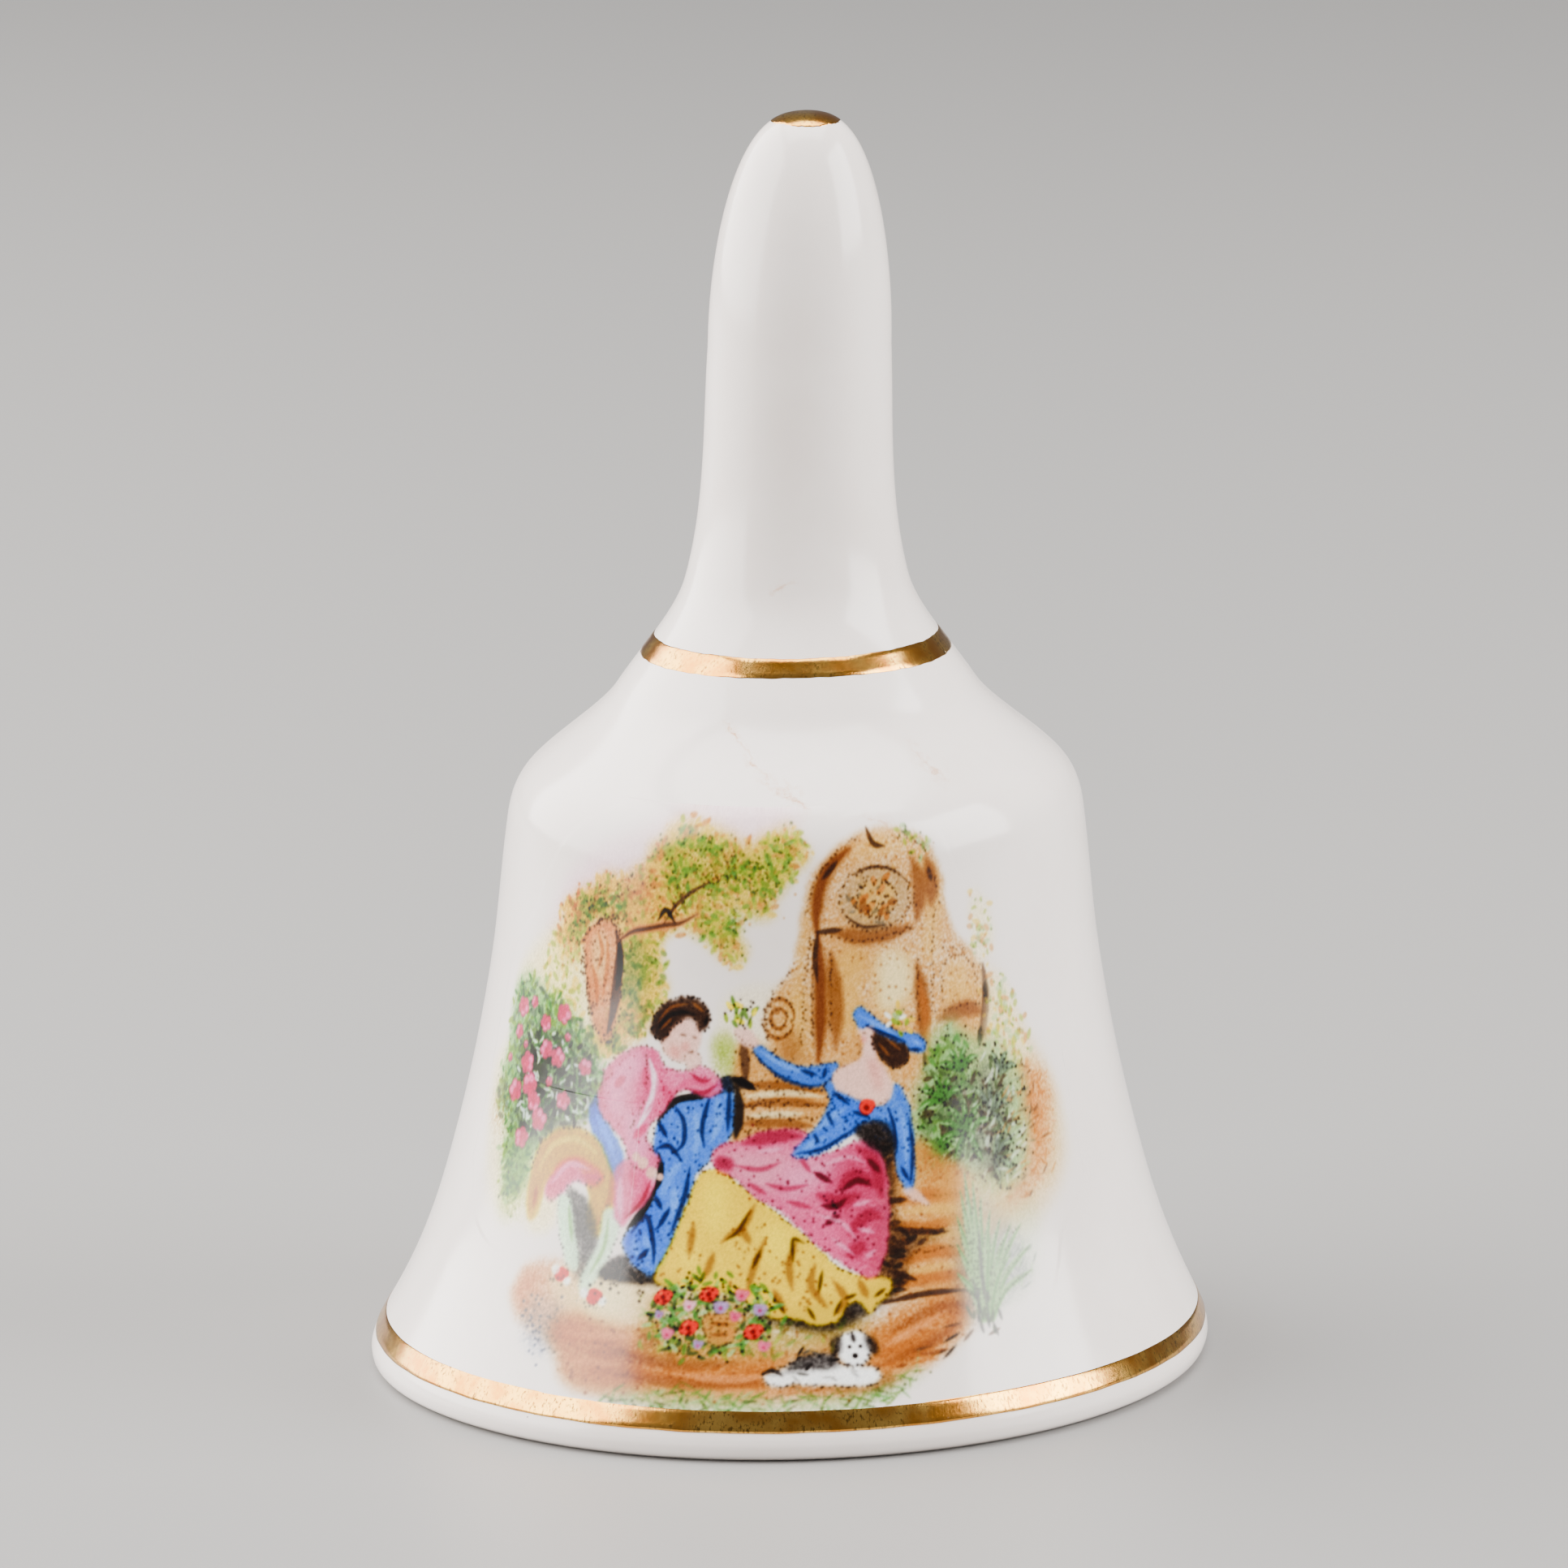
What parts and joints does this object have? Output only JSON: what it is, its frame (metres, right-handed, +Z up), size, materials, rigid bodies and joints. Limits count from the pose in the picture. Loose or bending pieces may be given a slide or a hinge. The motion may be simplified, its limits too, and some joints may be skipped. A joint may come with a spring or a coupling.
{
  "type": "porcelain table bell",
  "caption": "Small porcelain hand bell with a flared skirt, rolled gilded lip, slender handle and a bead clapper hung on wire inside.",
  "frame": {"origin": "centre of the rim plane, where the bell stands", "axes": "+Z up along the bell's axis from the rim to the tip of the handle; the painted picture faces -Y"},
  "size_m": [0.0508, 0.0508, 0.076],
  "materials": {
    "porcelain": "clear gloss glaze over warm white porcelain, with a painted picture fired on the front",
    "gilding": "burnished gold lines fired over the glaze, slightly worn",
    "wire": "drawn brass wire, dulled",
    "cement": "rough grey potter's cement",
    "bead": "turned ceramic bead, soft sheen"
  },
  "bodies": {
    "shell": {"bell_shell": "porcelain", "cement_plug": "cement", "crown_staple": "wire"},
    "link": {"hanger_link": "wire"},
    "clapper": {"clapper_rod": "wire"},
    "bead": {"clapper_bead": "bead"}
  },
  "joints": [
    {"name": "link_swing", "type": "hinge", "parent": "shell", "child": "link", "pos_m": [0, 0, 0.03548], "axis": [1, 0, 0], "range_deg": [-30, 30]},
    {"name": "rod_swing", "type": "hinge", "parent": "link", "child": "clapper", "pos_m": [0, 0, 0.03013], "axis": [0, 1, 0], "range_deg": [-16, 16]},
    {"name": "bead_spin", "type": "hinge", "parent": "clapper", "child": "bead", "pos_m": [0, 0, 0.01], "axis": [0, 0, 1], "continuous": true}
  ]
}
